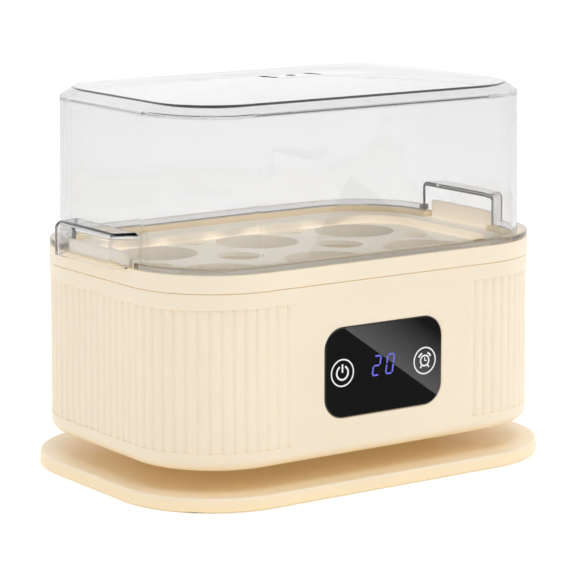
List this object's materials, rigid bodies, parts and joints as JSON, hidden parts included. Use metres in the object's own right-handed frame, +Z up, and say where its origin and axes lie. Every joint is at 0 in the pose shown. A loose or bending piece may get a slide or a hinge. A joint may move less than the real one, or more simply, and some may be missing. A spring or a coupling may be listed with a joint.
{
  "type": "egg cooker",
  "caption": "Countertop egg cooker: clear lift-off cover over an egg tray and heated water pan, in a ribbed cream base on a foot plate.",
  "frame": {"origin": "centre of the bottom face, on the surface the object stands on", "axes": "+X along the length, with the grips at both ends; -Y towards the control window; +Z up"},
  "size_m": [0.2174, 0.1506, 0.1729],
  "materials": {
    "cream_plastic": "satin moulded plastic",
    "clear_plastic": "clear polished plastic",
    "tray_plastic": "satin moulded plastic",
    "window_black": "polished black",
    "foot_rubber": "matte",
    "gland_rubber": "matte",
    "seal_silicone": "matte",
    "pan_steel": "brushed",
    "clip_steel": "zinc plated",
    "screw_steel": "zinc plated",
    "spreader_aluminium": "rolled",
    "element_steel": "heat darkened",
    "terminal_brass": "plain",
    "thermostat_body": "glazed",
    "fuse_metal": "plain",
    "board_laminate": "solder mask",
    "component_blue": "moulded",
    "component_yellow": "moulded",
    "component_green": "moulded",
    "component_black": "moulded",
    "digit_module": "matte",
    "spring_steel": "plated wire",
    "adhesive_tape": "matte foam",
    "lead_red": "silicone sleeve",
    "lead_white": "silicone sleeve",
    "ribbon_grey": "flat cable"
  },
  "bodies": {
    "base": {"base_plate": "cream_plastic", "foot_pads": "foot_rubber", "base_screws": "screw_steel", "body_shell": "cream_plastic", "upper_ring": "cream_plastic", "ring_screws": "screw_steel", "water_pan": "pan_steel", "pan_seal": "seal_silicone", "pan_clips": "clip_steel", "pan_screws": "screw_steel", "heat_spreader": "spreader_aluminium", "heater_element": "element_steel", "heater_terminals": "terminal_brass", "heater_straps": "clip_steel", "heater_nuts": "screw_steel", "thermostat": "thermostat_body", "thermostat_bracket": "clip_steel", "thermostat_screws": "screw_steel", "thermal_fuse": "fuse_metal", "fuse_clip": "clip_steel", "fuse_screw": "screw_steel", "power_board": "board_laminate", "board_screws": "screw_steel", "relay": "component_blue", "transformer": "component_yellow", "capacitors": "component_yellow", "terminal_block": "component_green", "buzzer": "component_black", "display_window": "window_black", "window_adhesive": "adhesive_tape", "display_board": "board_laminate", "digit_display": "digit_module", "touch_springs": "spring_steel", "display_screws": "screw_steel", "cord_gland": "gland_rubber", "heater_leads": "lead_red", "thermostat_leads": "lead_white", "display_ribbon": "ribbon_grey"},
    "tray": {"egg_tray": "tray_plastic"},
    "cover": {"clear_cover": "clear_plastic"}
  },
  "joints": [
    {"name": "cover_lift", "type": "slide", "parent": "tray", "child": "cover", "axis": [0, 0, 1], "range_m": [0, 0.12]},
    {"name": "tray_lift", "type": "slide", "parent": "base", "child": "tray", "axis": [0, 0, 1], "range_m": [0, 0.05]}
  ]
}
